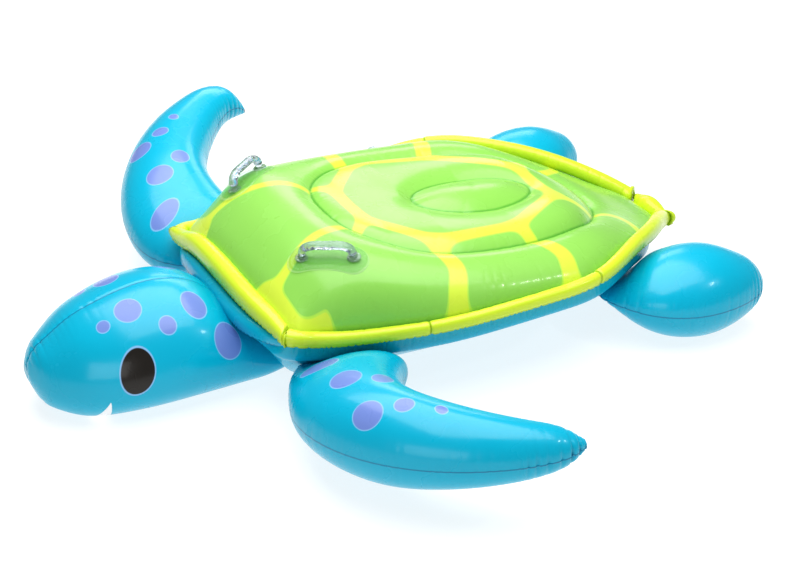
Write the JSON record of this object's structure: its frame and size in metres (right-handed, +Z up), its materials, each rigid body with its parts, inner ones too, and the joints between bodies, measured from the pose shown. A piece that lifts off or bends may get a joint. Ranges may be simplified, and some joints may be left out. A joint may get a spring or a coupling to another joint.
{
  "type": "inflatable ride-on pool float",
  "caption": "Sea-turtle ride-on pool float: puffed shell with riding pad and seat well, rounded head, flexing flippers, lean-over grips and stoppered air valves.",
  "frame": {"origin": "centre of the bounding box's base, on the surface it rests on", "axes": "+Z up; head towards -Y; the turtle's left flippers towards +X"},
  "size_m": [1.8846, 1.7666, 0.3986],
  "materials": {
    "blue_vinyl": "glossy welded vinyl sheet",
    "green_vinyl": "glossy printed vinyl sheet",
    "lime_vinyl": "glossy welded vinyl sheet",
    "clear_vinyl": "clear soft vinyl",
    "baffle_vinyl": "plain vinyl sheet inside the chambers"
  },
  "bodies": {
    "hull": {"head_left_panel": "blue_vinyl", "head_right_panel": "blue_vinyl", "flank_band": "blue_vinyl", "bottom_panel": "blue_vinyl", "outer_ring_panel": "green_vinyl", "pad_panel": "green_vinyl", "seat_panel": "green_vinyl", "rim_front": "lime_vinyl", "rim_tail": "lime_vinyl", "rim_shoulder_left": "lime_vinyl", "rim_shoulder_right": "lime_vinyl", "rim_waist_left": "lime_vinyl", "rim_waist_right": "lime_vinyl", "rim_haunch_left": "lime_vinyl", "rim_haunch_right": "lime_vinyl", "handle_patch_left": "clear_vinyl", "handle_patch_right": "clear_vinyl", "handle_foot_front_left": "clear_vinyl", "handle_foot_rear_left": "clear_vinyl", "handle_foot_front_right": "clear_vinyl", "handle_foot_rear_right": "clear_vinyl", "top_valve_body": "clear_vinyl", "top_valve_flap": "clear_vinyl", "low_valve_body": "clear_vinyl", "low_valve_flap": "clear_vinyl", "crease_baffle": "baffle_vinyl", "seat_baffle": "baffle_vinyl"},
    "front_left_flipper": {"front_flipper_left_top": "blue_vinyl", "front_flipper_left_bottom": "blue_vinyl"},
    "front_right_flipper": {"front_flipper_right_top": "blue_vinyl", "front_flipper_right_bottom": "blue_vinyl"},
    "rear_left_flipper": {"rear_flipper_left_top": "blue_vinyl", "rear_flipper_left_bottom": "blue_vinyl"},
    "rear_right_flipper": {"rear_flipper_right_top": "blue_vinyl", "rear_flipper_right_bottom": "blue_vinyl"},
    "left_grip": {"handle_grip_left": "clear_vinyl"},
    "right_grip": {"handle_grip_right": "clear_vinyl"},
    "top_stopper": {"top_valve_plug": "clear_vinyl"},
    "low_stopper": {"low_valve_plug": "clear_vinyl"}
  },
  "joints": [
    {"name": "front_left_flex", "type": "hinge", "parent": "hull", "child": "front_left_flipper", "pos_m": [0.292, -0.236, 0.112], "axis": [-0.2756, -0.9613, 0], "range_deg": [-6, 6], "stiffness_Nm_per_rad": 60},
    {"name": "front_right_flex", "type": "hinge", "parent": "hull", "child": "front_right_flipper", "pos_m": [-0.292, -0.236, 0.112], "axis": [-0.2756, 0.9613, 0], "range_deg": [-6, 6], "stiffness_Nm_per_rad": 60},
    {"name": "rear_left_flex", "type": "hinge", "parent": "hull", "child": "rear_left_flipper", "pos_m": [0.276, 0.543, 0.112], "axis": [0.4695, -0.8829, 0], "range_deg": [-5, 6], "stiffness_Nm_per_rad": 60},
    {"name": "rear_right_flex", "type": "hinge", "parent": "hull", "child": "rear_right_flipper", "pos_m": [-0.276, 0.543, 0.112], "axis": [0.4695, 0.8829, 0], "range_deg": [-5, 6], "stiffness_Nm_per_rad": 60},
    {"name": "left_grip_lean", "type": "hinge", "parent": "hull", "child": "left_grip", "pos_m": [0.19857, -0.27424, 0.35793], "axis": [0.5797, 0.8107, 0.0819], "range_deg": [-30, 30], "stiffness_Nm_per_rad": 0.5},
    {"name": "right_grip_lean", "type": "hinge", "parent": "hull", "child": "right_grip", "pos_m": [-0.19857, -0.27424, 0.35793], "axis": [0.5797, -0.8107, -0.0819], "range_deg": [-30, 30], "stiffness_Nm_per_rad": 0.5},
    {"name": "top_stopper_flip", "type": "hinge", "parent": "hull", "child": "top_stopper", "pos_m": [-0.41485, 0.23229, 0.26877], "axis": [-0.6133, 0, -0.7899], "range_deg": [0, 140]},
    {"name": "low_stopper_flip", "type": "hinge", "parent": "hull", "child": "low_stopper", "pos_m": [-0.35208, 0.07656, 0.12322], "axis": [0.7346, 0, -0.6785], "range_deg": [0, 140]}
  ]
}
